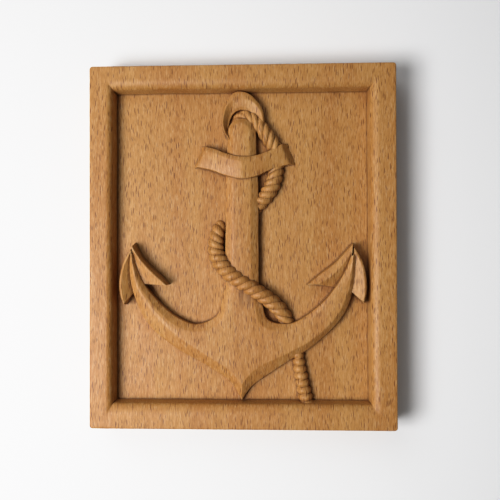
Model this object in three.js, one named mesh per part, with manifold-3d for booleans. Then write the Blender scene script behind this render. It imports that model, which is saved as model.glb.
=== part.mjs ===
// A beech wall plaque, carved from one board: a moulded frame round a sunk ground,
// and on the ground an anchor with its ring, stock, flukes and a rope wound about it.
// Millimetres, +Z up. The flat back is at y = 0 and the face looks towards -Y.
// Relief shapes are drawn as (x, z) on the ground, with a height above the ground.
import * as THREE from "three";
import { mergeVertices } from "three/addons/utils/BufferGeometryUtils.js";
import Module from "manifold-3d";

// Driving dimensions of the board and its frame
const WIDTH = 150;
const HEIGHT = 178;
const THICKNESS = 20;
const CORNER_RADIUS = 1.5;
const EDGE_EASE = 0.7;
const RECESS_DEPTH = 9;
const RAIL = { left: 11.1, right: 12.3, top: 11.3, bottom: 12.2 };

// The quarter-round inside the frame: its width on each rail, its depth, and the draft of
// the wall below it
const MOULDING_WIDTH = { left: 3, right: 4.6, top: 4.8, bottom: 6 };
const MOULDING = { depth: 3.5, draft: 0.5, steps: 6 };

// The ground's distance from the back, and how far the carving is rooted in it
const GROUND = THICKNESS - RECESS_DEPTH;
const ROOT = -1;

// The two arms, from the tip of each to the middle of the crown. Each arm is bounded by
// its outlines and by the crests where the chamfers meet the flat between them, and each
// line has its heights above the ground.
const CROWN_TIP = [-0.4, -76];
const CROWN_CREST = [-0.2, -67.4];
const CROWN_TOP = [-0.2, -20];
const CROWN_HEIGHT = 6;
const CREST_HEIGHTS = [8.5, 8.2, 7.4, 6.6, 6.1, 6, 6, 6, CROWN_HEIGHT];
const LOWER_EDGE_HEIGHTS = [6.5, 5.9, 4.4, 3, 2.2, 1.9, 1.7, 1.6, 1.6];
const ARM_STEPS = 30;
const LEFT_ARM = {
  upperHeights: [7.3, 6.5, 5.5, 4.6, 4.2, 4.1, 4.1, 4.1, 4.1],
  lower: [[-55.6, -4], [-55.6, -13], [-53.3, -25], [-46.5, -38.6], [-34, -49.6], [-20, -57.5],
    [-8.5, -64.7], [-4.2, -69.2], CROWN_TIP],
  lowerCrest: [[-54.5, -3], [-53.6, -11], [-51.3, -20.6], [-44.5, -31.8], [-33.3, -42.8],
    [-20, -51.8], [-8, -59.4], [-4, -63], CROWN_CREST],
  upperCrest: [[-54.3, -3], [-53.2, -10.8], [-50, -19.9], [-42.5, -30.5], [-32.3, -39],
    [-22, -41.6], [-11.2, -37.8], [-4.8, -22], CROWN_TOP],
  upper: [[-53.9, -3.4], [-51.9, -10.8], [-47.8, -19.5], [-41, -28], [-32, -35], [-22.5, -38.2],
    [-12.2, -33.3], [-8.3, -20], CROWN_TOP],
};
const RIGHT_ARM = {
  upperHeights: [7.3, 7.2, 7.1, 6.3, 4.6, 4.1, 4.1, 4.1, 4.1],
  lower: [[55.6, -5], [55.2, -13], [54.1, -22.3], [49, -34.7], [36.4, -47.6], [22, -57],
    [10, -64.8], [4, -69.6], CROWN_TIP],
  lowerCrest: [[54.3, -4], [53.4, -12], [51.9, -21.1], [46.5, -33.5], [35.1, -44.8],
    [21.5, -52.6], [9.5, -58.3], [4, -62.3], CROWN_CREST],
  upperCrest: [[53.7, -4.5], [52.7, -11.8], [47.8, -20.4], [41.2, -28.4], [31.6, -37],
    [22, -41.2], [9.2, -38.2], [4.6, -22], CROWN_TOP],
  upper: [[53, -5], [50.3, -11.8], [45.5, -20.1], [39.8, -27.1], [30.2, -34.8], [22, -38.1],
    [12, -35.2], [8.2, -20], CROWN_TOP],
};

// The four blades of the flukes: the edge beside the arm, the crest of the rim, the outer
// edge and the foot of its wall, from the fluke's point down
const BLADE_STEPS = 10;
const BLADE_TIP_HEIGHT = 7.6;
const BLADES = [
  {
    beside: [[-54.4, -2.5], [-53.8, -12], [-52.9, -20.8]],
    crest: [[-55.2, -3.2], [-58.2, -9.5], [-59.5, -17], [-59.2, -23.4], [-58.1, -27.6]],
    outer: [[-55, -1.3], [-58.7, -8], [-60.5, -16], [-60.1, -23.3], [-58.4, -28.2]],
    foot: [[-55.2, -0.4], [-59.1, -7.8], [-61, -16], [-60.6, -23.4], [-58.6, -28.8]],
    heights: { beside: 2.8, crest: 8.2, edge: 7.2 },
  },
  {
    beside: [[-54.2, -2.5], [-53, -9.5], [-51.3, -14], [-48.8, -18.4]],
    crest: [[-54.1, -1], [-50.5, -6.6], [-45.9, -11.6], [-41.4, -15.5], [-37.6, -18.7]],
    outer: [[-54.2, 0.4], [-50, -6.1], [-45.6, -11], [-41, -15], [-37, -18.7]],
    foot: [[-53.8, 2.6], [-49.4, -5.4], [-44.8, -10.3], [-40.3, -14.2], [-36.5, -18.4]],
    heights: { beside: 5, crest: 8.2, edge: 7.8 },
  },
  {
    beside: [[53.5, -4.6], [51.8, -11.3], [49.3, -15.6], [46.7, -20.3]],
    crest: [[53.7, -2], [50.7, -6.6], [46.4, -11.5], [42, -15.6], [36.4, -18.5]],
    outer: [[54, 1], [50.4, -3.1], [45.8, -7.9], [39.2, -13.1], [32.3, -18.8]],
    foot: [[54.2, 1.6], [50.3, -2.6], [45.6, -7.4], [39, -12.6], [31.9, -18.6]],
    heights: { beside: 3.4, crest: 6.3, edge: 4.3 },
  },
  {
    beside: [[54.4, -3.6], [54.4, -10], [53.8, -16], [53.2, -22]],
    crest: [[54.9, -2.6], [57.9, -8.4], [59.4, -15], [59.7, -21.5], [59, -27]],
    outer: [[54.7, -0.4], [58.6, -7.6], [60.4, -14.8], [60.6, -21.5], [59.5, -27.8]],
    foot: [[54.9, 0.4], [59.1, -7.4], [60.9, -14.8], [61.1, -21.6], [59.9, -28.4]],
    heights: { beside: 4.4, crest: 8.2, edge: 7.3 },
  },
];

// The shank: a tapered bar with a round top and chamfered sides
const SHANK = {
  centre: -0.15,
  topCentre: 56.7,
  topHalfWidth: 7,
  halfWidth: 8.2,
  taperEnds: 25,
  bottom: -24,
  edgeHeight: 4.1,
  crestHeight: 6.3,
  chamfer: 3,
  lowerChamfer: 3.7,
};
const SHANK_ARC_STEPS = 16;
const SHANK_SIDE_STEPS = 6;

// The stock: a bar bowed over the shank, with a chamfer above and bevelled ends
const STOCK = {
  lower: [[-22.2, 39.8], [-15, 37.9], [-7, 34.8], [0, 33.5], [7, 34.8], [15, 38.4], [24.2, 40.9]],
  upper: [[-18.6, 50.1], [-13, 48.3], [-7, 45.8], [0, 44.2], [7, 45], [13.5, 47.5], [20.6, 51.2]],
  endBevel: { left: 2.1, right: 2.7 },
  middleHeight: 8.9,
  endHeight: 4.6,
  lean: 1.1,
  chamfer: 2.3,
  chamferDrop: 1.1,
  steps: 20,
};

// The ring, a band that dishes from its crest to a lip round its eye
const RING = {
  outer: [[-6.6, 53], [-9.3, 57.8], [-9.8, 62.5], [-9, 69], [-6.6, 73.8], [-2.6, 77], [2.6, 76.4],
    [7, 72.8], [10, 68.3], [11.2, 63.5], [11, 58]],
  crest: [[-6.4, 53.4], [-8.9, 58], [-9.4, 62.5], [-8, 68.4], [-5.6, 71.6], [-1.8, 73.1],
    [2.2, 72.9], [5.9, 71.1], [8.8, 67.3], [10.2, 63.2], [10, 58]],
  lip: [[-5.9, 55], [-7.3, 58], [-7.2, 61.9], [-6.1, 65.7], [-4.5, 67.9], [-1.8, 69.2],
    [1.2, 69.2], [4, 67.8], [5.8, 65.4], [7.2, 62.4], [7.8, 58]],
  eye: [[-5.6, 55], [-6.6, 58], [-6.5, 61.5], [-5.4, 64.9], [-3.9, 66.8], [-1.6, 68], [0.9, 68],
    [3.4, 66.6], [5.2, 64.6], [6.6, 62], [7.4, 58]],
  edgeHeight: 3.6,
  crestHeight: 5.4,
  lipHeights: [2.4, 2.5, 2.8, 4.2, 4, 3.4, 3.2],
  eyeHeights: [2.2, 2.2, 2.4, 3.1, 3, 2.8, 2.8],
  steps: 30,
};

// The rope: where its middle runs, as x, z and height, with its radius, the length of one
// turn of the lay at its two ends, the number of strands and the hand of the lay
const GROOVE_DEPTH = 0.17;
const GROOVE_SHARPNESS = 0.8;
const ROPE_FACETS = 14;
const ROPE_STEP = 1.2;
const ROPE_ROOT = -6;
const ROPES = [
  {
    route: [[-4.5, 62.2, -1.5], [-1.6, 65, 0.2], [1.6, 65.7, 1.4], [4.9, 64.2, 2.1],
      [8.4, 61.1, 2.5], [11.8, 56.8, 2.4], [14.7, 52.3, 1.7], [17, 47.6, 0.7], [17.6, 43, 0.4],
      [17, 38.6, 0.9], [16.1, 34, 1.7], [14.1, 29, 2], [11, 24.4, 1.4], [7.4, 20.7, 0.2],
      [3.5, 17.5, -3]],
    radius: [2.2, 2.9, 3.5, 3.8, 4.1, 3.6],
    lay: [19, 19],
    strands: 5,
    hand: -1,
  },
  {
    route: [[-5, 16, -3.5], [-9, 12.3, -0.4], [-11.9, 8.1, 1.2], [-12.8, 4, 1.9],
      [-12.9, 0, 2.3], [-12.3, -4, 2.8], [-10.6, -8, 3.6], [-7.5, -12, 4.4], [-3.2, -15.6, 4.9],
      [1.8, -19, 5], [6.9, -22, 4.9], [12, -25.4, 4.2], [16.4, -29.2, 3.2], [19.9, -33.3, 1.9],
      [22, -37.4, 0.2], [23.4, -41, -3]],
    radius: [3.4, 4.1, 3.8, 3.9, 3.9],
    lay: [12.5, 20],
    strands: 4,
    hand: 1,
  },
  {
    route: [[26.8, -48, 0.6], [27.4, -53.8, 1.4], [28.4, -61, 1.6], [29.8, -68.1, 1.7],
      [31.8, -78, 1.7]],
    radius: [2.8, 3.1, 3.6],
    lay: [7, 7],
    strands: 2,
    hand: 1,
  },
];

const MERGE_DISTANCE = 1e-4;
const BEECH = new THREE.MeshStandardMaterial({ color: 0xc48a50, roughness: 0.5, metalness: 0 });

const wasm = await Module();
wasm.setup();

// A closed geometry as a solid, turned to face outwards
function solidOf(geometry) {
  const bare = geometry.index ? geometry : geometry.clone();
  bare.deleteAttribute("normal");
  bare.deleteAttribute("uv");
  const merged = mergeVertices(bare, MERGE_DISTANCE);
  const vertProperties = merged.attributes.position.array;
  const triVerts = new Uint32Array(merged.index.array);
  const made = new wasm.Manifold(new wasm.Mesh({ numProp: 3, vertProperties, triVerts }));
  if (made.volume() > 0) return made;
  triVerts.reverse();
  return new wasm.Manifold(new wasm.Mesh({ numProp: 3, vertProperties, triVerts }));
}

// A place on the relief, at a height above the ground
function place([x, z], height) {
  return new THREE.Vector3(x, -(GROUND + height), z);
}

// A smooth line through hand-set (x, z) points, as a function of 0 to 1
function line(points) {
  const curve = new THREE.SplineCurve(points.map(([x, z]) => new THREE.Vector2(x, z)));
  return (t) => curve.getPoint(t).toArray();
}

// A smooth run of plain values, as a function of 0 to 1
function run(values) {
  const along = line(values.map((value, i) => [i, value]));
  return (t) => along(t)[1];
}

// A closed skin through rings of points, each ring with as many points, with flat ends
function loft(rings) {
  const count = rings[0].length;
  const positions = rings.flat().flatMap((p) => p.toArray());
  const index = [];
  for (let r = 0; r + 1 < rings.length; r++) {
    for (let i = 0; i < count; i++) {
      const a = r * count + i;
      const b = r * count + ((i + 1) % count);
      index.push(a, b, a + count, b, b + count, a + count);
    }
  }
  const last = (rings.length - 1) * count;
  for (let i = 1; i + 1 < count; i++) {
    index.push(0, i + 1, i, last, last + i, last + i + 1);
  }
  const geometry = new THREE.BufferGeometry();
  geometry.setAttribute("position", new THREE.Float32BufferAttribute(positions, 3));
  geometry.setIndex(index);
  return solidOf(geometry);
}

function steps(count) {
  return Array.from({ length: count + 1 }, (_, i) => i / count);
}

const { lerp, smoothstep } = THREE.MathUtils;

// The board with eased edges, its back on y = 0
function board() {
  const w = WIDTH / 2 - EDGE_EASE;
  const h = HEIGHT / 2 - EDGE_EASE;
  const r = CORNER_RADIUS;
  const outline = new THREE.Shape();
  outline.moveTo(w, r - h);
  outline.absarc(w - r, h - r, r, 0, Math.PI / 2);
  outline.absarc(r - w, h - r, r, Math.PI / 2, Math.PI);
  outline.absarc(r - w, r - h, r, Math.PI, 1.5 * Math.PI);
  outline.absarc(w - r, r - h, r, 1.5 * Math.PI, 2 * Math.PI);
  const geometry = new THREE.ExtrudeGeometry(outline, {
    depth: THICKNESS - 2 * EDGE_EASE,
    bevelThickness: EDGE_EASE,
    bevelSize: EDGE_EASE,
    bevelSegments: 2,
    curveSegments: 4,
  });
  geometry.translate(0, 0, EDGE_EASE);
  geometry.rotateX(Math.PI / 2);
  return solidOf(geometry);
}

// What is cut out of the board: the sunk ground, its walls and the quarter-round above them
function recess() {
  const levels = [{ depth: RECESS_DEPTH, inwards: MOULDING.draft, share: 0 }];
  for (const t of steps(MOULDING.steps)) {
    const turn = (t * Math.PI) / 2;
    const depth = MOULDING.depth * (1 - Math.sin(turn));
    levels.push({ depth, inwards: 0, share: 1 - Math.cos(turn) });
  }
  levels.push({ depth: -1, inwards: 0, share: 1 });
  const rings = levels.map(({ depth, inwards, share }) => {
    const reach = (side) => RAIL[side] + inwards - MOULDING_WIDTH[side] * share;
    const left = -WIDTH / 2 + reach("left");
    const right = WIDTH / 2 - reach("right");
    const top = HEIGHT / 2 - reach("top");
    const bottom = -HEIGHT / 2 + reach("bottom");
    const corners = [[left, bottom], [right, bottom], [right, top], [left, top]];
    return corners.map((corner) => place(corner, RECESS_DEPTH - depth));
  });
  return loft(rings);
}

// One arm: two chamfers and the flat between them
function arm(outlines) {
  const lower = line(outlines.lower);
  const lowerCrest = line(outlines.lowerCrest);
  const upperCrest = line(outlines.upperCrest);
  const upper = line(outlines.upper);
  const lowerHeight = run(LOWER_EDGE_HEIGHTS);
  const crestHeight = run(CREST_HEIGHTS);
  const upperHeight = run(outlines.upperHeights);
  return loft(steps(ARM_STEPS).map((t) => [
    place(lower(t), ROOT),
    place(lower(t), lowerHeight(t)),
    place(lowerCrest(t), crestHeight(t)),
    place(upperCrest(t), crestHeight(t)),
    place(upper(t), upperHeight(t)),
    place(upper(t), ROOT),
  ]));
}

// One blade of a fluke: it rises from the arm to the crest of its rim
function blade({ beside, crest, outer, foot, heights }) {
  const besideLine = line(beside);
  const crestLine = line(crest);
  const outerLine = line(outer);
  const footLine = line(foot);
  return loft(steps(BLADE_STEPS).map((t) => {
    const heightOf = (name) => lerp(BLADE_TIP_HEIGHT, heights[name], Math.sqrt(t));
    return [
      place(besideLine(t), ROOT),
      place(besideLine(t), heightOf("beside")),
      place(crestLine(t), heightOf("crest")),
      place(outerLine(t), heightOf("edge")),
      place(footLine(t), ROOT),
    ];
  }));
}

// The shank as rings that shrink from its outline to its crest
function shank() {
  const outlineAt = (inset, lowerInset) => {
    const points = [];
    const side = (sign) => (t) => {
      const z = lerp(SHANK.bottom, SHANK.topCentre, t);
      const taper = smoothstep(z, SHANK.taperEnds, SHANK.topCentre);
      const half = lerp(SHANK.halfWidth - lowerInset, SHANK.topHalfWidth - inset, taper);
      return [SHANK.centre + sign * half, z];
    };
    points.push(...steps(SHANK_SIDE_STEPS).map(side(1)));
    for (const t of steps(SHANK_ARC_STEPS).slice(1, -1)) {
      const r = SHANK.topHalfWidth - inset;
      const x = SHANK.centre + r * Math.cos(t * Math.PI);
      points.push([x, SHANK.topCentre + r * Math.sin(t * Math.PI)]);
    }
    points.push(...steps(SHANK_SIDE_STEPS).reverse().map(side(-1)));
    return points;
  };
  const outline = outlineAt(0, 0);
  const crest = outlineAt(SHANK.chamfer, SHANK.lowerChamfer);
  const crestHeight = (z) =>
    lerp(CROWN_HEIGHT, SHANK.crestHeight, smoothstep(z, SHANK.bottom, SHANK.topCentre));
  return loft([
    outline.map((p) => place(p, ROOT)),
    outline.map((p) => place(p, SHANK.edgeHeight)),
    crest.map((p) => place(p, crestHeight(p[1]))),
  ]);
}

// The stock: it is highest over the shank, falls to both sides and leans a little downwards
function stock() {
  const lower = line(STOCK.lower);
  const upper = line(STOCK.upper);
  const section = (t, out, rise) => {
    const [lowX, lowZ] = lower(t);
    const [highX, highZ] = upper(t);
    const fall = Math.abs(2 * t - 1) ** 1.2;
    const crest = lerp(STOCK.middleHeight, STOCK.endHeight, fall) * rise;
    const chamfer = [highX + out, highZ - STOCK.chamfer];
    return [
      place([lowX + out, lowZ], ROOT),
      place([lowX + out, lowZ], crest - STOCK.lean * rise),
      place(chamfer, crest),
      place([highX + out, highZ], crest - STOCK.chamferDrop * rise),
      place([highX + out, highZ], ROOT),
    ];
  };
  return loft([
    section(0, -STOCK.endBevel.left, 0),
    ...steps(STOCK.steps).map((t) => section(t, 0, 1)),
    section(1, STOCK.endBevel.right, 0),
  ]);
}

// The ring, from where it meets the shank on the left to where the rope covers it
function ring() {
  const outer = line(RING.outer);
  const crest = line(RING.crest);
  const lip = line(RING.lip);
  const lipHeight = run(RING.lipHeights);
  const eye = line(RING.eye);
  const eyeHeight = run(RING.eyeHeights);
  return loft(steps(RING.steps).map((t) => [
    place(outer(t), ROOT),
    place(outer(t), RING.edgeHeight),
    place(crest(t), RING.crestHeight),
    place(lip(t), lipHeight(t)),
    place(eye(t), eyeHeight(t)),
    place(eye(t), ROOT),
  ]));
}

// A length of laid rope: lobes between grooves that turn as they run, with its sides cut
// straight down into the wood below
function rope({ route, radius, lay, strands, hand }) {
  const curve = new THREE.CatmullRomCurve3(route.map(([x, z, h]) => place([x, z], h)));
  const length = curve.getLength();
  const radiusAt = run(radius);
  const outward = new THREE.Vector3(0, -1, 0);
  const rings = steps(Math.round(length / ROPE_STEP)).map((t) => {
    const middle = curve.getPointAt(t);
    const tangent = curve.getTangentAt(t);
    const side = new THREE.Vector3().crossVectors(tangent, outward).normalize();
    const up = new THREE.Vector3().crossVectors(side, tangent).normalize();
    const turns = length * (t / lay[0] + ((1 / lay[1] - 1 / lay[0]) * t * t) / 2);
    const twist = hand * 2 * Math.PI * turns;
    const points = steps(ROPE_FACETS).map((share) => {
      const angle = share * Math.PI;
      const lobe = Math.abs(Math.sin((strands * (angle - twist)) / 2)) ** GROOVE_SHARPNESS;
      const r = radiusAt(t) * (1 - GROOVE_DEPTH * (1 - lobe));
      const offset = side.clone().multiplyScalar(r * Math.cos(angle));
      return offset.addScaledVector(up, r * Math.sin(angle)).add(middle);
    });
    const foot = (reach) => {
      const { x, z } = side.clone().multiplyScalar(reach).add(middle);
      return place([x, z], ROPE_ROOT);
    };
    return [...points, foot(-radiusAt(t)), foot(radiusAt(t))];
  });
  return loft(rings);
}

// The whole carving joined to the board, as one piece of wood
function carvedBoard() {
  const carving = [
    arm(LEFT_ARM),
    arm(RIGHT_ARM),
    shank(),
    stock(),
    ring(),
    ...BLADES.map(blade),
    ...ROPES.map(rope),
  ];
  const whole = carving.reduce((sum, part) => sum.add(part), board().subtract(recess()));
  const { vertProperties, triVerts } = whole.getMesh();
  const geometry = new THREE.BufferGeometry();
  geometry.setAttribute("position", new THREE.BufferAttribute(vertProperties, 3));
  geometry.setIndex(new THREE.BufferAttribute(triVerts, 1));
  geometry.computeVertexNormals();
  return geometry;
}

const plaque = new THREE.Mesh(carvedBoard(), BEECH);
plaque.name = "anchor_relief_plaque";

const group = new THREE.Group();
group.add(plaque);

export default group;
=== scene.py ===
# A beech wall plaque, carved from one board: a moulded frame round a sunk ground, and on
# the ground an anchor with its ring, stock, flukes and a rope wound about it.
# The shapes below are in millimetres; the flat back is at y = 0 and the face looks
# towards -Y. Relief shapes are drawn as (x, z) on the ground, with a height above it.
import math
import random

import bmesh
import bpy
import numpy as np
from mathutils import Matrix, Vector, noise
from mathutils.bvhtree import BVHTree


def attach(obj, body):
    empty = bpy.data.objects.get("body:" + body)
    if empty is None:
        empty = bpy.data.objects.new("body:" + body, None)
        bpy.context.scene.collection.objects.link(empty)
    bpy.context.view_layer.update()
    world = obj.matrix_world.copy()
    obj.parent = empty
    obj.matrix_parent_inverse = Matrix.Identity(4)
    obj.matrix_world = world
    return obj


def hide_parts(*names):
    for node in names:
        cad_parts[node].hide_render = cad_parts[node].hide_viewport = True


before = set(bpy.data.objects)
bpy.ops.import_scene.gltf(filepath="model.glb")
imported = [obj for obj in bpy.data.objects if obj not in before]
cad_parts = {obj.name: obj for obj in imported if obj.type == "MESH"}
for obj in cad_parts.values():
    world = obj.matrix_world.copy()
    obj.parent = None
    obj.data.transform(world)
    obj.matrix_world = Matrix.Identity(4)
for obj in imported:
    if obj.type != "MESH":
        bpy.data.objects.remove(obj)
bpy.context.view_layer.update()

MM = 0.001
NODE = "anchor_relief_plaque"

# Driving dimensions of the board and its frame
WIDTH = 150
HEIGHT = 178
THICKNESS = 20
CORNER_RADIUS = 1.5
EDGE_EASE = 0.7
RECESS_DEPTH = 9
RAIL = {"left": 11.1, "right": 12.3, "top": 11.3, "bottom": 12.2}

# The quarter-round inside the frame: its width on each rail, its depth, and the draft of
# the wall below it
MOULDING_WIDTH = {"left": 3, "right": 4.6, "top": 4.8, "bottom": 6}
MOULDING_DEPTH = 3.5
MOULDING_DRAFT = 0.5

# The ground's distance from the back, and how far the carving is rooted in it
GROUND = THICKNESS - RECESS_DEPTH
ROOT = -1

# The two arms, from the tip of each to the middle of the crown. Each arm is bounded by
# its outlines and by the crests where the chamfers meet the flat between them.
CROWN_TIP = (-0.4, -76)
CROWN_CREST = (-0.2, -67.4)
CROWN_TOP = (-0.2, -20)
CROWN_HEIGHT = 6
CREST_HEIGHTS = [8.5, 8.2, 7.4, 6.6, 6.1, 6, 6, 6, CROWN_HEIGHT]
LOWER_EDGE_HEIGHTS = [6.8, 6.2, 5, 4, 3.4, 3.2, 3.1, 3, 3]
ARMS = [
    {
        "upper_heights": [7.3, 6.5, 5.5, 4.6, 4.2, 4.1, 4.1, 4.1, 4.1],
        "lower": [(-55.6, -4), (-55.6, -13), (-53.3, -25), (-46.5, -38.6), (-34, -49.6),
                  (-20, -57.5), (-8.5, -64.7), (-4.2, -69.2), CROWN_TIP],
        "lower_crest": [(-54.5, -3), (-53.6, -11), (-51.3, -20.6), (-44.5, -31.8),
                        (-33.3, -42.8), (-20, -51.8), (-8, -59.4), (-4, -63), CROWN_CREST],
        "upper_crest": [(-54.3, -3), (-53.2, -10.8), (-50, -19.9), (-42.5, -30.5),
                        (-32.3, -39), (-22, -41.6), (-11.2, -37.8), (-4.8, -22), CROWN_TOP],
        "upper": [(-53.9, -3.4), (-51.9, -10.8), (-47.8, -19.5), (-41, -28), (-32, -35),
                  (-22.5, -38.2), (-12.2, -33.3), (-8.3, -20), CROWN_TOP],
    },
    {
        "upper_heights": [7.3, 7.2, 7.1, 6.3, 4.6, 4.1, 4.1, 4.1, 4.1],
        "lower": [(55.6, -5), (55.2, -13), (54.1, -22.3), (49, -34.7), (36.4, -47.6),
                  (22, -57), (10, -64.8), (4, -69.6), CROWN_TIP],
        "lower_crest": [(54.3, -4), (53.4, -12), (51.9, -21.1), (46.5, -33.5),
                        (35.1, -44.8), (21.5, -52.6), (9.5, -58.3), (4, -62.3), CROWN_CREST],
        "upper_crest": [(53.7, -4.5), (52.7, -11.8), (47.8, -20.4), (41.2, -28.4),
                        (31.6, -37), (22, -41.2), (9.2, -38.2), (4.6, -22), CROWN_TOP],
        "upper": [(53, -5), (50.3, -11.8), (45.5, -20.1), (39.8, -27.1), (30.2, -34.8),
                  (22, -38.1), (12, -35.2), (8.2, -20), CROWN_TOP],
    },
]

# The four blades of the flukes: the edge beside the arm, the crest of the rim, the outer
# edge and the foot of its wall, from the fluke's point down
BLADE_TIP_HEIGHT = 7.6
BLADES = [
    {
        "beside": [(-54.4, -2.5), (-53.8, -12), (-52.9, -20.8)],
        "crest": [(-55.2, -3.2), (-58.2, -9.5), (-59.5, -17), (-59.2, -23.4), (-58.1, -27.6)],
        "outer": [(-55, -1.3), (-58.7, -8), (-60.5, -16), (-60.1, -23.3), (-58.4, -28.2)],
        "foot": [(-55.2, -0.4), (-59.1, -7.8), (-61, -16), (-60.6, -23.4), (-58.6, -28.8)],
        "heights": {"beside": 2.8, "crest": 8.2, "edge": 7.2},
    },
    {
        "beside": [(-54.2, -2.5), (-53, -9.5), (-51.3, -14), (-48.8, -18.4)],
        "crest": [(-54.1, -1), (-50.5, -6.6), (-45.9, -11.6), (-41.4, -15.5), (-37.6, -18.7)],
        "outer": [(-54.2, 0.4), (-50, -6.1), (-45.6, -11), (-41, -15), (-37, -18.7)],
        "foot": [(-53.8, 2.6), (-49.4, -5.4), (-44.8, -10.3), (-40.3, -14.2), (-36.5, -18.4)],
        "heights": {"beside": 5, "crest": 8.2, "edge": 7.8},
    },
    {
        "beside": [(53.5, -4.6), (51.8, -11.3), (49.3, -15.6), (46.7, -20.3)],
        "crest": [(53.7, -2), (50.7, -6.6), (46.4, -11.5), (42, -15.6), (36.4, -18.5)],
        "outer": [(54, 1), (50.4, -3.1), (45.8, -7.9), (39.2, -13.1), (32.3, -18.8)],
        "foot": [(54.2, 1.6), (50.3, -2.6), (45.6, -7.4), (39, -12.6), (31.9, -18.6)],
        "heights": {"beside": 3.4, "crest": 6.3, "edge": 4.3},
    },
    {
        "beside": [(54.4, -3.6), (54.4, -10), (53.8, -16), (53.2, -22)],
        "crest": [(54.9, -2.6), (57.9, -8.4), (59.4, -15), (59.7, -21.5), (59, -27)],
        "outer": [(54.7, -0.4), (58.6, -7.6), (60.4, -14.8), (60.6, -21.5), (59.5, -27.8)],
        "foot": [(54.9, 0.4), (59.1, -7.4), (60.9, -14.8), (61.1, -21.6), (59.9, -28.4)],
        "heights": {"beside": 5.4, "crest": 8.2, "edge": 7.3},
    },
]

# The shank: a tapered bar with a round top and chamfered sides
SHANK = {
    "centre": -0.15,
    "top_centre": 56.7,
    "top_half_width": 7,
    "half_width": 8.2,
    "taper_ends": 25,
    "bottom": -24,
    "edge_height": 4.1,
    "crest_height": 6.3,
    "chamfer": 3,
    "lower_chamfer": 3.7,
}

# The stock: a bar bowed over the shank, with a chamfer above and bevelled ends
STOCK = {
    "lower": [(-22.2, 39.8), (-15, 37.9), (-7, 34.8), (0, 33.5), (7, 34.8), (15, 38.4),
              (23.4, 40.8)],
    "upper": [(-18.6, 50.1), (-13, 48.3), (-7, 45.8), (0, 44.2), (7, 45), (13.5, 47.5),
              (20, 51)],
    "end_bevel": {"left": 2.1, "right": 3.4},
    "middle_height": 8.9,
    "end_height": 4.6,
    "lean": 1.1,
    "chamfer": 2.3,
    "chamfer_drop": 1.1,
}

# The ring, a band that dishes from its crest to a lip round its eye
RING = {
    "outer": [(-6.6, 53), (-9.3, 57.8), (-9.8, 62.5), (-9, 69), (-6.6, 73.8), (-2.6, 77),
              (2.6, 76.4), (7, 72.8), (10, 68.3), (11.2, 63.5), (11, 58)],
    "crest": [(-6.4, 53.4), (-8.9, 58), (-9.4, 62.5), (-8, 68.4), (-5.6, 71.6),
              (-1.8, 73.1), (2.2, 72.9), (5.9, 71.1), (8.8, 67.3), (10.2, 63.2), (10, 58)],
    "lip": [(-5.9, 55), (-7.3, 58), (-7.2, 61.9), (-6.1, 65.7), (-4.5, 67.9),
            (-1.8, 69.2), (1.2, 69.2), (4, 67.8), (5.8, 65.4), (7.2, 62.4), (7.8, 58)],
    "eye": [(-5.6, 55), (-6.6, 58), (-6.5, 61.5), (-5.4, 64.9), (-3.9, 66.8), (-1.6, 68),
            (0.9, 68), (3.4, 66.6), (5.2, 64.6), (6.6, 62), (7.4, 58)],
    "edge_height": 4.3,
    "crest_height": 5.4,
    "lip_heights": [2.4, 2.5, 2.8, 4.2, 4, 3.4, 3.2],
    "eye_heights": [2.2, 2.2, 2.4, 3.1, 3, 2.8, 2.8],
}

# The rope: where its middle runs, as x, z and height, with its radius. At its two ends:
# the length of one strand's lobe along the rope, and how many lobes a groove climbs past
# from one side of the rope to the other. The grooves' depth is a share of the radius.
GROOVE_SHARPNESS = 0.7
ROPE_ROOT = -6
ROPES = [
    {
        "route": [(-4.5, 62.2, -1.5), (-1.6, 65, 0.2), (1.5, 65.5, 1.4), (4.6, 63.8, 2.1),
                  (8, 60.7, 2.5), (11.4, 56.4, 2.4), (14.4, 52.1, 1.7), (17, 47.6, 0.7),
                  (17.6, 43, 0.4), (17, 38.6, 0.9), (16.1, 34, 1.7), (14.1, 29, 2),
                  (11, 24.4, 1.4), (7.4, 20.7, 0.2), (3.5, 17.5, -3)],
        "radius": [2.3, 3.4, 3.9, 3.9, 4.1, 3.6],
        "lobe": (4.1, 3.3),
        "climb": (-2.1, -1.2),
        "depth": 0.25,
    },
    {
        "route": [(-10.7, 11.8, -3.5), (-11.6, 9.6, -0.3), (-12.5, 7.2, 1.2), (-13.2, 3.8, 1.9),
                  (-13.3, 0, 2.3), (-12.6, -4, 2.8), (-10.7, -8, 3.6), (-7.5, -12, 4.4),
                  (-3.2, -15.6, 4.9), (1.8, -19, 5), (6.9, -22, 4.9), (12, -25.4, 4.2),
                  (16.4, -29.2, 3.2), (19.9, -33.3, 1.9), (22, -37.4, 0.2), (23.4, -41, -3)],
        "radius": [3.2, 4.4, 4, 3.9, 3.9],
        "lobe": (3.3, 4.7),
        "climb": (0.8, 1.8),
        "depth": 0.25,
    },
    {
        "route": [(26.8, -48, 0.6), (27.4, -53.8, 1.4), (28.4, -61, 1.6), (29.8, -68.1, 1.7),
                  (31.8, -78, 1.7)],
        "radius": [2.9, 3.4, 3.7],
        "lobe": (3.5, 3.5),
        "climb": (0.2, 0.2),
        "depth": 0.32,
    },
]

# How finely the surfaces are divided, in millimetres or as counts
CELL = 1.2
ARM_STEPS = 110
BLADE_STEPS = 36
STOCK_STEPS = 60
RING_STEPS = 90
ROPE_STEP = 0.42
ROPE_FACETS = 40
FLAT_STEPS = 3

# How far a carved arris is worn round, and how unsteady the carver's hand was
WORN = 0.55
WOBBLE = {"line": 0.22, "line_size": 11, "surface": 0.16, "surface_size": 7}


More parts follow.
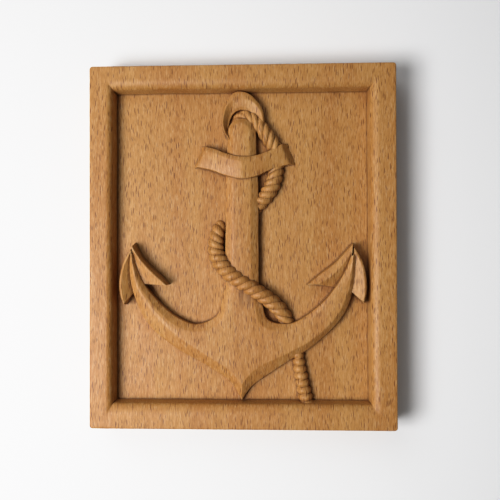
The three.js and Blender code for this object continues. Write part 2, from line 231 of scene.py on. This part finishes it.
def spline(points, t):
    """A smooth line through given points, read at t from 0 to 1."""
    p = np.asarray(points, float)
    if p.ndim == 1:
        p = p[:, None]
    u = np.atleast_1d(np.asarray(t, float)) * (len(p) - 1)
    i = np.minimum(u.astype(int), len(p) - 2)
    f = (u - i)[:, None]
    p0, p1, p2, p3 = (p[np.clip(i + k, 0, len(p) - 1)] for k in (-1, 0, 1, 2))
    v0, v1 = (p2 - p0) / 2, (p3 - p1) / 2
    out = ((2 * p1 - 2 * p2 + v0 + v1) * f**3 + (3 * p2 - 3 * p1 - 2 * v0 - v1) * f**2
           + v0 * f + p1)
    return out[:, 0] if out.shape[1] == 1 else out


def place(flat, height):
    """Places on the relief, at heights above the ground."""
    flat = np.atleast_2d(flat)
    height = np.broadcast_to(height, len(flat))
    return np.stack([flat[:, 0], -(GROUND + height), flat[:, 1]], axis=1)


def lerp(a, b, t):
    return a + (b - a) * t


def smoothstep(x, low, high):
    t = np.clip((x - low) / (high - low), 0, 1)
    return t * t * (3 - 2 * t)


def soften(corners, worn, crown=None, divide=1):
    """Sections along a run, each a list of corners, with the inner corners worn round.

    corners is a list of (count, 3) arrays; worn has one radius for each inner corner.
    crown lifts the middle of the stretch after a corner by that much.
    """
    arc = 4
    out = [corners[0]]
    ends = []
    for k in range(1, len(corners) - 1):
        a, p, b = corners[k - 1], corners[k], corners[k + 1]
        la = np.linalg.norm(a - p, axis=1, keepdims=True) + 1e-9
        lb = np.linalg.norm(b - p, axis=1, keepdims=True) + 1e-9
        reach = np.minimum(worn[k - 1], np.minimum(la, lb) * 0.42)
        ends.append((p + (a - p) / la * reach, p, p + (b - p) / lb * reach))
    for k, (start, p, end) in enumerate(ends):
        for s in range(arc + 1):
            t = s / arc
            out.append((1 - t) ** 2 * start + 2 * t * (1 - t) * p + t * t * end)
        if k + 1 < len(ends) and divide > 1:
            following = ends[k + 1][0]
            rise = 0 if crown is None else crown[k]
            for s in range(1, divide):
                t = s / divide
                point = lerp(end, following, t)
                point = point - np.array([0, 1, 0]) * rise * 4 * t * (1 - t)
                out.append(point)
    out.append(corners[-1])
    return np.stack(out, axis=1)


def mesh_object(name, verts, faces):
    mesh = bpy.data.meshes.new(name)
    mesh.from_pydata([tuple(v) for v in np.asarray(verts) * MM], [], faces)
    mesh.validate()
    obj = bpy.data.objects.new(name, mesh)
    bpy.context.scene.collection.objects.link(obj)
    return obj


def loft(name, rings):
    """A closed skin through rings of points with flat ends, facing outwards."""
    rings = np.asarray(rings)
    rows, count, _ = rings.shape
    faces = []
    for r in range(rows - 1):
        for i in range(count):
            j = (i + 1) % count
            faces.append((r * count + i, r * count + j, (r + 1) * count + j,
                          (r + 1) * count + i))
    last = (rows - 1) * count
    faces.append(tuple(reversed(range(count))))
    faces.append(tuple(range(last, last + count)))
    return closed(mesh_object(name, rings.reshape(-1, 3), faces))


def closed(obj):
    """Welds doubled points and turns a closed skin to face outwards."""
    bm = bmesh.new()
    bm.from_mesh(obj.data)
    bmesh.ops.remove_doubles(bm, verts=bm.verts, dist=2e-6)
    bmesh.ops.triangulate(bm, faces=bm.faces)
    bmesh.ops.recalc_face_normals(bm, faces=bm.faces)
    if bm.calc_volume(signed=True) < 0:
        bmesh.ops.reverse_faces(bm, faces=bm.faces)
    bm.to_mesh(obj.data)
    bm.free()
    return obj


def rectangle(left, right, bottom, top, radius, columns, rows):
    """A rounded rectangle of (x, z) points, anticlockwise, always with as many points."""
    arc = 6
    points = []
    sides = [
        ((left + radius, bottom), (right - radius, bottom), columns),
        ((right, bottom + radius), (right, top - radius), rows),
        ((right - radius, top), (left + radius, top), columns),
        ((left, top - radius), (left, bottom + radius), rows),
    ]
    centres = [
        (right - radius, bottom + radius), (right - radius, top - radius),
        (left + radius, top - radius), (left + radius, bottom + radius),
    ]
    for k, (start, end, count) in enumerate(sides):
        for s in range(count + 1):
            t = s / count
            points.append((lerp(start[0], end[0], t), lerp(start[1], end[1], t)))
        for s in range(1, arc):
            turn = math.pi / 2 * (k - 1 + s / arc)
            centre = centres[k]
            points.append((centre[0] + radius * math.cos(turn),
                           centre[1] + radius * math.sin(turn)))
    return np.array(points)


def board():
    """The board with its eased edges, the moulded frame and the sunk ground."""
    columns = round(WIDTH / CELL)
    rows = round(HEIGHT / CELL)
    levels = []

    def outside(inset, y):
        radius = max(CORNER_RADIUS - inset * 0.4, 0.3)
        levels.append((-WIDTH / 2 + inset, WIDTH / 2 - inset, -HEIGHT / 2 + inset,
                       HEIGHT / 2 - inset, radius, y))

    def inside(share, inwards, y):
        reach = {side: RAIL[side] + inwards - MOULDING_WIDTH[side] * share for side in RAIL}
        levels.append((-WIDTH / 2 + reach["left"], WIDTH / 2 - reach["right"],
                       -HEIGHT / 2 + reach["bottom"], HEIGHT / 2 - reach["top"], 0, y))

    outside(6, 0)
    outside(2.5, 0)
    ease = 4
    for s in range(ease + 1):
        turn = s / ease * math.pi / 2
        outside(EDGE_EASE * (1 - math.sin(turn)), -EDGE_EASE * (1 - math.cos(turn)))
    for y in np.linspace(EDGE_EASE, THICKNESS - EDGE_EASE, 9)[1:]:
        outside(0, -y)
    for s in range(1, ease + 1):
        turn = s / ease * math.pi / 2
        outside(EDGE_EASE * (1 - math.cos(turn)),
                -(THICKNESS - EDGE_EASE * (1 - math.sin(turn))))
    flat = 5
    for s in range(1, flat):
        t = s / flat
        reach = {side: lerp(EDGE_EASE, RAIL[side] - MOULDING_WIDTH[side], t) for side in RAIL}
        levels.append((-WIDTH / 2 + reach["left"], WIDTH / 2 - reach["right"],
                       -HEIGHT / 2 + reach["bottom"], HEIGHT / 2 - reach["top"],
                       CORNER_RADIUS * (1 - t) ** 2, -THICKNESS))
    quarter = 10
    for s in range(quarter + 1):
        turn = (1 - s / quarter) * math.pi / 2
        depth = MOULDING_DEPTH * (1 - math.sin(turn))
        inside(1 - math.cos(turn), 0, -(THICKNESS - depth))
    wall = 5
    for s in range(1, wall + 1):
        t = s / wall
        inside(0, MOULDING_DRAFT * t, -(THICKNESS - lerp(MOULDING_DEPTH, RECESS_DEPTH, t)))

    verts = []
    count = 0
    for left, right, bottom, top, radius, y in levels:
        ring = rectangle(left, right, bottom, top, radius, columns, rows)
        count = len(ring)
        verts.extend((x, y, z) for x, z in ring)
    faces = [tuple(range(count))]
    for r in range(len(levels) - 1):
        for i in range(count):
            j = (i + 1) % count
            faces.append((r * count + i, r * count + j, (r + 1) * count + j,
                          (r + 1) * count + i))
    left, right, bottom, top, _, y = levels[-1]
    start = len(verts)
    for j in range(rows + 1):
        for i in range(columns + 1):
            verts.append((lerp(left, right, i / columns), y, lerp(bottom, top, j / rows)))
    for j in range(rows):
        for i in range(columns):
            a = start + j * (columns + 1) + i
            faces.append((a, a + 1, a + columns + 2, a + columns + 1))
    return closed(mesh_object("board", verts, faces))


def arm(outlines, name):
    """One arm: two chamfers and the flat between them."""
    t = np.linspace(0, 1, ARM_STEPS + 1)
    lower, upper = spline(outlines["lower"], t), spline(outlines["upper"], t)
    crest_height = spline(CREST_HEIGHTS, t)
    corners = [
        place(lower, ROOT),
        place(lower, spline(LOWER_EDGE_HEIGHTS, t)),
        place(spline(outlines["lower_crest"], t), crest_height),
        place(spline(outlines["upper_crest"], t), crest_height),
        place(upper, spline(outlines["upper_heights"], t)),
        place(upper, ROOT),
    ]
    return loft(name, soften(corners, [0.4, WORN, WORN, 0.5], [0.05, 0.12, 0.05], FLAT_STEPS))


def blade(lines, name):
    """One blade of a fluke: it rises from the arm to the crest of its rim."""
    t = np.linspace(0, 1, BLADE_STEPS + 1)
    beside, crest = spline(lines["beside"], t), spline(lines["crest"], t)
    outer, foot = spline(lines["outer"], t), spline(lines["foot"], t)

    def height(key):
        return lerp(BLADE_TIP_HEIGHT, lines["heights"][key], np.sqrt(t))

    corners = [
        place(beside, ROOT),
        place(beside, height("beside")),
        place(crest, height("crest")),
        place(outer, height("edge")),
        place(foot, ROOT),
    ]
    return loft(name, soften(corners, [0.2, 0.5, 0.4], [-0.15, 0], FLAT_STEPS))


def shank():
    """The shank as rings that shrink from its outline to its crest."""
    def outline(inset, lower_inset):
        points = []

        def side(sign, t):
            z = lerp(SHANK["bottom"], SHANK["top_centre"], t)
            taper = smoothstep(z, SHANK["taper_ends"], SHANK["top_centre"])
            half = lerp(SHANK["half_width"] - lower_inset, SHANK["top_half_width"] - inset, taper)
            return SHANK["centre"] + sign * half, z

        sides, arc = 56, 36
        points += [side(1, s / sides) for s in range(sides + 1)]
        radius = SHANK["top_half_width"] - inset
        for s in range(1, arc):
            turn = s / arc * math.pi
            points.append((SHANK["centre"] + radius * math.cos(turn),
                           SHANK["top_centre"] + radius * math.sin(turn)))
        points += [side(-1, s / sides) for s in range(sides, -1, -1)]
        return np.array(points)

    def crest_height(z):
        return lerp(CROWN_HEIGHT, SHANK["crest_height"],
                    smoothstep(z, SHANK["bottom"], SHANK["top_centre"]))

    def level(share, inside):
        flat = outline(SHANK["chamfer"] * share + inside, SHANK["lower_chamfer"] * share + inside)
        return flat

    edge = level(0, 0)
    crest = level(1, 0)
    inner = level(1, 2.6)
    top = crest_height(crest[:, 1])
    corners = [
        place(edge, ROOT),
        place(edge, SHANK["edge_height"]),
        place(crest, top),
        place(inner, crest_height(inner[:, 1]) + 0.18 * smoothstep(inner[:, 1], -24, 0)),
    ]
    return loft("shank", np.swapaxes(soften(corners, [0.45, WORN], [0.05], FLAT_STEPS), 0, 1))


def stock():
    """The stock: highest over the shank, it falls to both sides and leans downwards."""
    t = np.linspace(0, 1, STOCK_STEPS + 1)
    t = np.concatenate([[0] * 4, t, [1] * 4])
    bevel = np.linspace(0, 1, 5)[:4]
    out = np.concatenate([(1 - bevel) * -STOCK["end_bevel"]["left"], np.zeros(STOCK_STEPS + 1),
                          (1 - bevel[::-1]) * STOCK["end_bevel"]["right"]])
    rise = np.concatenate([bevel, np.ones(STOCK_STEPS + 1), bevel[::-1]])
    lower = spline(STOCK["lower"], t) + np.stack([out, out * 0], axis=1)
    upper = spline(STOCK["upper"], t) + np.stack([out, out * 0], axis=1)
    fall = np.abs(2 * t - 1) ** 1.2
    crest = lerp(STOCK["middle_height"], STOCK["end_height"], fall) * rise
    chamfer = upper - np.array([0, STOCK["chamfer"]])
    corners = [
        place(lower, ROOT),
        place(lower, crest - STOCK["lean"] * rise),
        place(chamfer, crest),
        place(upper, crest - STOCK["chamfer_drop"] * rise),
        place(upper, ROOT),
    ]
    return loft("stock", soften(corners, [0.45, WORN, 0.4], [0.25, 0.05], FLAT_STEPS))


def ring():
    """The ring, from where it meets the shank to where the rope covers it."""
    t = np.linspace(0, 1, RING_STEPS + 1)
    outer, eye = spline(RING["outer"], t), spline(RING["eye"], t)
    corners = [
        place(outer, ROOT),
        place(outer, RING["edge_height"]),
        place(spline(RING["crest"], t), RING["crest_height"]),
        place(spline(RING["lip"], t), spline(RING["lip_heights"], t)),
        place(eye, spline(RING["eye_heights"], t)),
        place(eye, ROOT),
    ]
    return loft("ring", soften(corners, [0.4, 0.5, 0.4, 0.3], [0.05, 0.15, 0], FLAT_STEPS))


def smooth_route(points):
    """Centripetal Catmull-Rom through the points, read evenly along its length."""
    p = np.asarray(points, float)
    p = np.vstack([2 * p[0] - p[1], p, 2 * p[-1] - p[-2]])
    fine = []
    for k in range(1, len(p) - 2):
        x0, x1, x2, x3 = p[k - 1:k + 3]
        d0, d1, d2 = (math.sqrt(np.linalg.norm(b - a)) for a, b in ((x0, x1), (x1, x2), (x2, x3)))
        v1 = ((x1 - x0) / d0 - (x2 - x0) / (d0 + d1) + (x2 - x1) / d1) * d1
        v2 = ((x2 - x1) / d1 - (x3 - x1) / (d1 + d2) + (x3 - x2) / d2) * d1
        t = np.linspace(0, 1, 41)[:, None]
        fine.append(x1 + v1 * t + (3 * x2 - 3 * x1 - 2 * v1 - v2) * t**2
                    + (2 * x1 - 2 * x2 + v1 + v2) * t**3)
    fine = np.vstack([fine[0]] + [part[1:] for part in fine[1:]])
    along = np.concatenate([[0], np.cumsum(np.linalg.norm(np.diff(fine, axis=0), axis=1))])
    return fine, along


def rope(spec, name):
    """A length of laid rope, its sides cut straight down into the wood below."""
    route = np.array([place((x, z), h)[0] for x, z, h in spec["route"]])
    fine, along = smooth_route(route)
    length = along[-1]
    rows = round(length / ROPE_STEP)
    t = np.linspace(0, 1, rows + 1)
    middle = np.stack([np.interp(t * length, along, fine[:, k]) for k in range(3)], axis=1)
    tangent = np.gradient(middle, axis=0)
    tangent /= np.linalg.norm(tangent, axis=1, keepdims=True)
    side = np.cross(tangent, [0, -1, 0])
    side /= np.linalg.norm(side, axis=1, keepdims=True)
    up = np.cross(side, tangent)
    radius = spline(spec["radius"], t)
    first, last = spec["lobe"]
    passed = length * (t / first + ((1 / last - 1 / first) * t * t) / 2)
    climb = lerp(*spec["climb"], t)
    points = []
    for s in range(ROPE_FACETS + 1):
        share = s / ROPE_FACETS
        angle = share * math.pi
        swell = np.abs(np.sin((passed - climb * share) * math.pi)) ** GROOVE_SHARPNESS
        r = radius * (1 - spec["depth"] * (1 - swell))
        points.append(middle + side * (r * math.cos(angle))[:, None]
                      + up * (r * math.sin(angle))[:, None])
    for sign in (-1, 1):
        foot = middle + side * (sign * radius)[:, None]
        points.append(place(foot[:, [0, 2]], ROPE_ROOT))
    return loft(name, np.stack(points, axis=1))


def join(base, tool):
    """Joins one solid to another and drops the second."""
    cut = base.modifiers.new("join", "BOOLEAN")
    cut.operation = "UNION"
    cut.solver = "MANIFOLD"
    cut.object = tool
    graph = bpy.context.evaluated_depsgraph_get()
    made = bpy.data.meshes.new_from_object(base.evaluated_get(graph))
    base.modifiers.clear()
    base.data = made
    bpy.data.objects.remove(tool)


def positions(mesh):
    out = np.empty(len(mesh.vertices) * 3, np.float32)
    mesh.vertices.foreach_get("co", out)
    return out.reshape(-1, 3).astype(float)


def waver(obj):
    """Lets lines and surfaces waver a little, as a hand-carved piece does."""
    co = positions(obj.data) / MM
    for k, (x, y, z) in enumerate(co):
        margin = min(WIDTH / 2 - abs(x), HEIGHT / 2 - abs(z))
        share = min(max((margin - 1.5) / 6, 0), 1) * min(max((-y - 4) / 5, 0), 1)
        if not share:
            continue
        line = Vector((x, y * 0.3, z)) / WOBBLE["line_size"]
        surface = Vector((x + 40, y * 0.2, z)) / WOBBLE["surface_size"]
        co[k, 0] += share * WOBBLE["line"] * noise.noise(line)
        co[k, 2] += share * WOBBLE["line"] * noise.noise(line + Vector((7, 3, 11)))
        co[k, 1] += share * WOBBLE["surface"] * (0.5 + 0.5 * noise.noise(surface))
    obj.data.vertices.foreach_set("co", (co * MM).astype(np.float32).ravel())
    obj.data.update()


def mark_relief(obj):
    """Stores on each point how hollow its place is, how tight a crease it sits in and how much of
    an edge it is; hollow and crease later darken the colour as painted shade.
    """
    mesh = obj.data
    tree = BVHTree.FromPolygons([v.co for v in mesh.vertices],
                                [p.vertices for p in mesh.polygons])
    chance = random.Random(4)
    rays = []
    for k in range(14):
        z = 1 - (k + 0.5) / 14 * 0.92
        turn = k * 2.39996
        r = math.sqrt(1 - z * z)
        rays.append((r * math.cos(turn), r * math.sin(turn), z))
    hollow = np.zeros(len(mesh.vertices), np.float32)
    crease = np.zeros(len(mesh.vertices), np.float32)
    edge = np.zeros(len(mesh.vertices), np.float32)
    for k, vertex in enumerate(mesh.vertices):
        if vertex.co.y > -0.004:
            continue
        normal = vertex.normal
        across = normal.orthogonal().normalized()
        along = normal.cross(across)
        spin = chance.random() * 2 * math.pi
        ca, sa = math.cos(spin), math.sin(spin)
        out = vertex.co + normal * 0.00006
        inside = vertex.co - normal * 0.00035
        blocked = 0
        pinched = 0
        open_ = 0
        for x, y, z in rays:
            rx, ry = x * ca - y * sa, x * sa + y * ca
            way = across * rx + along * ry + normal * z
            distance = tree.ray_cast(out, way, 0.007)[3]
            if distance is not None:
                blocked += z
                pinched += max(1 - distance / 0.0014, 0)
            if z < 0.75 and tree.ray_cast(inside, across * rx + along * ry - normal * z * 0.4,
                                          0.0011)[0] is not None:
                open_ += 1
        hollow[k] = blocked / 7.5
        crease[k] = pinched / 5
        edge[k] = open_ / 9
    for name, values in (("hollow", hollow), ("crease", crease), ("edge", edge)):
        store = mesh.attributes.new(name, "FLOAT", "POINT")
        store.data.foreach_set("value", values)


# ------------------------------------------------------------------ material

class Graph:
    """Short words for the nodes of one material."""

    def __init__(self, tree):
        self.tree = tree

    def node(self, kind, inputs=None, **settings):
        made = self.tree.nodes.new(kind)
        for key, value in settings.items():
            setattr(made, key, value)
        for key, value in (inputs or {}).items():
            if isinstance(value, bpy.types.NodeSocket):
                self.tree.links.new(value, made.inputs[key])
            else:
                made.inputs[key].default_value = value
        return made

    def math(self, operation, a, b=0.0, clamp=False):
        return self.node("ShaderNodeMath", {0: a, 1: b}, operation=operation,
                         use_clamp=clamp).outputs[0]

    def scaled(self, vector, scale, shift=(0, 0, 0)):
        moved = self.node("ShaderNodeMapping", {"Vector": vector, "Scale": scale,
                                                "Location": shift})
        return moved.outputs[0]

    def noise(self, vector, detail=2.0, roughness=0.5):
        return self.node("ShaderNodeTexNoise", {
            "Vector": vector, "Scale": 1.0, "Detail": detail, "Roughness": roughness,
        }).outputs["Fac"]

    def ramp(self, value, low, high, to_low=0.0, to_high=1.0):
        return self.node("ShaderNodeMapRange", {
            "Value": value, "From Min": low, "From Max": high,
            "To Min": to_low, "To Max": to_high,
        }, interpolation_type="SMOOTHSTEP").outputs[0]

    def mix(self, share, a, b, blend="MIX"):
        made = self.node("ShaderNodeMix", data_type="RGBA", blend_type=blend)
        made.clamp_factor = True
        for socket, value in ((0, share), (6, a), (7, b)):
            if isinstance(value, bpy.types.NodeSocket):
                self.tree.links.new(value, made.inputs[socket])
            else:
                made.inputs[socket].default_value = value
        return made.outputs[2]


BEECH_PALE = (0.465, 0.243, 0.073, 1)
BEECH_DEEP = (0.415, 0.192, 0.051, 1)
FLECK = (0.130, 0.036, 0.010, 1)
FRESH = (0.46, 0.31, 0.145, 1)
# Painted shade, multiplied into the hollows
PAINTED_HOLLOW_SHADE = (0.62, 0.44, 0.34, 1)
# Painted shade, mixed into the tight creases
PAINTED_CREASE_SHADE = (0.085, 0.028, 0.010, 1)
KNOT = {"place": (-2, 0, 85.6), "spread": (5.5, 30, 3.4)}


def flecks(g, face, size, shift, low, high):
    """Short dark rays that stand deep in the wood: thin across and long up the grain."""
    cells = g.node("ShaderNodeTexVoronoi", {
        "Vector": g.scaled(face, (1 / size[0], 1 / size[1], 1), shift),
        "Scale": 1.0, "Randomness": 1.0,
    }, voronoi_dimensions="2D")
    chance = g.node("ShaderNodeSeparateColor", {"Color": cells.outputs["Color"]}).outputs[0]
    reach = g.math("MULTIPLY_ADD", chance, high - low)
    reach.node.inputs[2].default_value = low
    gap = g.math("SUBTRACT", reach, cells.outputs["Distance"])
    return g.ramp(gap, -0.03, 0.07)


def beech():
    material = bpy.data.materials.new("beech")
    material.use_nodes = True
    material.node_tree.nodes.clear()
    g = Graph(material.node_tree)
    where = g.node("ShaderNodeTexCoord").outputs["Object"]
    mm = g.scaled(where, (1000, 1000, 1000))

    # The grain runs up the board and wanders a little
    drift = g.noise(g.scaled(mm, (1 / 26, 1 / 26, 1 / 70)), 1.0)
    sideways = g.math("MULTIPLY_ADD", drift, 5.0)
    sideways.node.inputs[2].default_value = -2.5
    shift = g.node("ShaderNodeCombineXYZ", {"X": sideways}).outputs[0]
    grain = g.node("ShaderNodeVectorMath", {0: mm, 1: shift}, operation="ADD").outputs[0]

    broad = g.noise(g.scaled(grain, (1 / 12, 1 / 12, 1 / 130)), 2.0)
    streak = g.noise(g.scaled(grain, (1 / 1.6, 1 / 6, 1 / 34)), 3.0, 0.6)
    fibre = g.noise(g.scaled(grain, (1 / 0.45, 1 / 1.5, 1 / 3.8)), 2.0, 0.6)

    tone = g.mix(g.ramp(broad, 0.32, 0.68), BEECH_DEEP, BEECH_PALE)
    tone = g.mix(g.ramp(streak, 0.35, 0.75, 0.0, 0.20), tone, (0.31, 0.14, 0.036, 1))
    tone = g.mix(g.ramp(streak, 0.50, 0.28, 0.0, 0.16), tone, (0.50, 0.31, 0.12, 1))
    tone = g.mix(g.ramp(fibre, 0.48, 0.70, 0.0, 0.44), tone, (0.26, 0.11, 0.026, 1))
    tone = g.mix(g.ramp(fibre, 0.50, 0.30, 0.0, 0.46), tone, (0.55, 0.37, 0.19, 1))

    bend = g.noise(g.scaled(mm, (1 / 9, 1 / 30, 1 / 5)), 1.0)
    bend = g.math("MULTIPLY_ADD", bend, 1.1)
    bend = g.math("ADD", bend, g.node("ShaderNodeSeparateXYZ", {0: grain}).outputs[0])
    face = g.node("ShaderNodeCombineXYZ", {
        "X": bend, "Y": g.node("ShaderNodeSeparateXYZ", {0: grain}).outputs[2],
    }).outputs[0]
    large = flecks(g, face, (0.80, 7.2), (3, 0, 0), -0.05, 0.25)
    small = flecks(g, face, (0.52, 4.4), (17, 5, 0), -0.10, 0.24)

    # The flecks fade on the sides of the board, where the rays lie flat in the surface
    normal = g.node("ShaderNodeTexCoord").outputs["Normal"]
    facing = g.math("ABSOLUTE", g.node("ShaderNodeSeparateXYZ", {0: normal}).outputs[1])
    frontal = g.ramp(facing, 0.1, 0.45, 0.06, 1.0)
    large = g.math("MULTIPLY", large, frontal)
    small = g.math("MULTIPLY", small, frontal)
    tone = g.mix(g.math("MULTIPLY", small, 0.50), tone, FLECK)
    tone = g.mix(g.math("MULTIPLY", large, 0.85), tone, FLECK)

    # A small mottled knot in the top rail
    offset = g.node("ShaderNodeVectorMath", {0: mm, 1: KNOT["place"]}, operation="SUBTRACT")
    near = g.node("ShaderNodeVectorMath", {0: offset.outputs[0], 1: KNOT["spread"]},
                  operation="DIVIDE")
    reach = g.node("ShaderNodeVectorMath", {0: near.outputs[0]}, operation="LENGTH")
    around = g.ramp(reach.outputs["Value"], 1.0, 0.2)
    mottle = g.ramp(g.noise(g.scaled(mm, (1 / 1.3, 1 / 4, 1 / 0.9)), 3.0), 0.42, 0.62)
    tone = g.mix(g.math("MULTIPLY", g.math("MULTIPLY", around, mottle), 0.55), tone,
                 (0.12, 0.06, 0.022, 1))

    # Painted shade: the hollows and tight creases are darkened where shade falls; the arrises are
    # rubbed pale
    hollow = g.node("ShaderNodeAttribute", attribute_name="hollow").outputs["Fac"]
    edge = g.node("ShaderNodeAttribute", attribute_name="edge").outputs["Fac"]
    # Painted shade: a reddish darkening multiplied in where the hollow value is high
    painted_hollow_shade = g.mix(g.ramp(hollow, 0.25, 0.95, 0.0, 0.75), (1, 1, 1, 1), PAINTED_HOLLOW_SHADE)
    tone = g.mix(1.0, tone, painted_hollow_shade, "MULTIPLY")
    crease = g.node("ShaderNodeAttribute", attribute_name="crease").outputs["Fac"]
    # Painted shade: a dark brown mixed in where the crease value is high
    tone = g.mix(g.ramp(crease, 0.15, 0.85, 0.0, 0.50), tone, PAINTED_CREASE_SHADE)
    rubbed = g.math("MULTIPLY", g.ramp(edge, 0.35, 0.95, 0.0, 0.5),
                    g.ramp(g.noise(g.scaled(mm, (0.25, 0.25, 0.16)), 3.0), 0.3, 0.65))
    tone = g.mix(rubbed, tone, FRESH)

    gloss = g.ramp(g.noise(g.scaled(mm, (0.09, 0.09, 0.05)), 3.0), 0.3, 0.7, 0.42, 0.49)
    gloss = g.math("ADD", gloss, g.math("MULTIPLY", hollow, 0.14))
    gloss = g.math("ADD", gloss, g.math("MULTIPLY", fibre, 0.06))

    # Fine relief: open fibres, rays that sink a little and the marks of the chisel
    chisel = g.noise(g.scaled(mm, (1 / 4.2, 1 / 4.2, 1 / 7)), 1.0)
    height = g.math("MULTIPLY", fibre, 0.020)
    height = g.math("ADD", height, g.math("MULTIPLY", streak, 0.018))
    height = g.math("SUBTRACT", height, g.math("MULTIPLY", large, 0.014))
    height = g.math("ADD", height, g.math("MULTIPLY", chisel, 0.10))
    bump = g.node("ShaderNodeBump", {"Height": height, "Strength": 1.0, "Distance": MM})

    wood = g.node("ShaderNodeBsdfPrincipled", {
        "Base Color": tone, "Roughness": gloss, "Normal": bump.outputs[0],
        "Specular IOR Level": 0.40,
    })
    g.node("ShaderNodeOutputMaterial", {"Surface": wood.outputs[0]})
    return material


# ------------------------------------------------------------------ the plaque

plaque = board()
for k, outlines in enumerate(ARMS):
    join(plaque, arm(outlines, f"arm_{k}"))
join(plaque, shank())
join(plaque, stock())
join(plaque, ring())
for k, lines in enumerate(BLADES):
    join(plaque, blade(lines, f"blade_{k}"))
for k, spec in enumerate(ROPES):
    join(plaque, rope(spec, f"rope_{k}"))
plaque.name = "anchor_relief"
plaque.data.name = "anchor_relief"
waver(plaque)
for polygon in plaque.data.polygons:
    polygon.use_smooth = True
plaque.data.set_sharp_from_angle(angle=math.radians(38))
mark_relief(plaque)
plaque.data.materials.clear()
plaque.data.materials.append(beech())
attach(plaque, "root")
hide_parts(NODE)

# ------------------------------------------------------------------ stage, light, camera

WALL = {"half": 1.6, "y": -0.0002}


def wall():
    """A pale wall behind the plaque, clear when it is seen from behind."""
    h, y = WALL["half"], WALL["y"]
    mesh = bpy.data.meshes.new("wall")
    mesh.from_pydata([(-h, y, -h), (h, y, -h), (h, y, h), (-h, y, h)], [], [(0, 1, 2, 3)])
    obj = bpy.data.objects.new("wall", mesh)
    bpy.context.scene.collection.objects.link(obj)
    material = bpy.data.materials.new("wall")
    material.use_nodes = True
    material.node_tree.nodes.clear()
    g = Graph(material.node_tree)
    paint = g.node("ShaderNodeBsdfDiffuse", {"Color": (0.84, 0.84, 0.845, 1)})
    clear = g.node("ShaderNodeBsdfTransparent")
    behind = g.node("ShaderNodeNewGeometry").outputs["Backfacing"]
    mixed = g.node("ShaderNodeMixShader", {0: behind, 1: paint.outputs[0], 2: clear.outputs[0]})
    g.node("ShaderNodeOutputMaterial", {"Surface": mixed.outputs[0]})
    mesh.materials.append(material)


wall()

LIGHTS = {
    "key": {"place": (-0.307, -0.495, -0.118), "size": 0.33, "power": 4.1},
    "window": {"place": (-0.48, -0.82, 0.735), "size": 0.9, "power": 3.2},
}
WORLD = {"front": (0.18, 0.18, 0.18), "back": (0.75, 0.75, 0.76)}

for name, spec in LIGHTS.items():
    light = bpy.data.lights.new(name, "AREA")
    light.shape = "DISK"
    light.size = spec["size"]
    light.energy = spec["power"]
    lamp = bpy.data.objects.new(name, light)
    lamp.location = spec["place"]
    lamp.rotation_euler = (-Vector(spec["place"])).to_track_quat("-Z", "Y").to_euler()
    bpy.context.scene.collection.objects.link(lamp)

world = bpy.data.worlds.new("studio")
bpy.context.scene.world = world
world.use_nodes = True
world.node_tree.nodes.clear()
g = Graph(world.node_tree)
way = g.node("ShaderNodeSeparateXYZ", {"Vector": g.node("ShaderNodeTexCoord").outputs["Generated"]})
rear = g.ramp(way.outputs["Y"], -0.02, 0.06)
colour = g.mix(rear, (*WORLD["front"], 1), (*WORLD["back"], 1))
sky = g.node("ShaderNodeBackground", {"Color": colour, "Strength": 1.0})
g.node("ShaderNodeOutputWorld", {"Surface": sky.outputs[0]})

CAMERA = {"place": (0.01525, -0.31136, -0.00409), "yaw": -0.0385, "pitch": 0.0084,
          "roll": -0.0025, "lens": 43.2}

lens = bpy.data.cameras.new("camera")
lens.lens = CAMERA["lens"]
lens.sensor_width = 36
lens.clip_start = 0.01
camera = bpy.data.objects.new("camera", lens)
bpy.context.scene.collection.objects.link(camera)
yaw, pitch, roll = CAMERA["yaw"], CAMERA["pitch"], CAMERA["roll"]
forward = Vector((math.sin(yaw) * math.cos(pitch), math.cos(yaw) * math.cos(pitch),
                  math.sin(pitch)))
right = forward.cross(Vector((0, 0, 1))).normalized()
up = right.cross(forward)
turned = right * math.cos(roll) + up * math.sin(roll)
risen = up * math.cos(roll) - right * math.sin(roll)
camera.matrix_world = (Matrix.Translation(CAMERA["place"])
                       @ Matrix((turned, risen, -forward)).transposed().to_4x4())
bpy.context.scene.camera = camera

# The camera's response: a little contrast, and highlights that roll off
RESPONSE = [(0, 0), (0.04, 0.0247), (0.12, 0.0873), (0.25, 0.203), (0.45, 0.399), (0.65, 0.609),
            (0.82, 0.785), (1.0, 0.885), (1.3, 0.962), (1.8, 1.0)]
settings = bpy.context.scene.view_settings
settings.view_transform = "Standard"
settings.use_curve_mapping = True
response = settings.curve_mapping
response.white_level = (RESPONSE[-1][0],) * 3
curve = response.curves[3]
for k, (value, shown) in enumerate(RESPONSE):
    at = (value / RESPONSE[-1][0], shown)
    if k == 0:
        curve.points[0].location = at
    elif k == len(RESPONSE) - 1:
        curve.points[-1].location = at
    else:
        curve.points.new(*at)
response.update()
bpy.context.view_layer.update()

print("triangles", sum(len(p.vertices) - 2 for p in plaque.data.polygons))
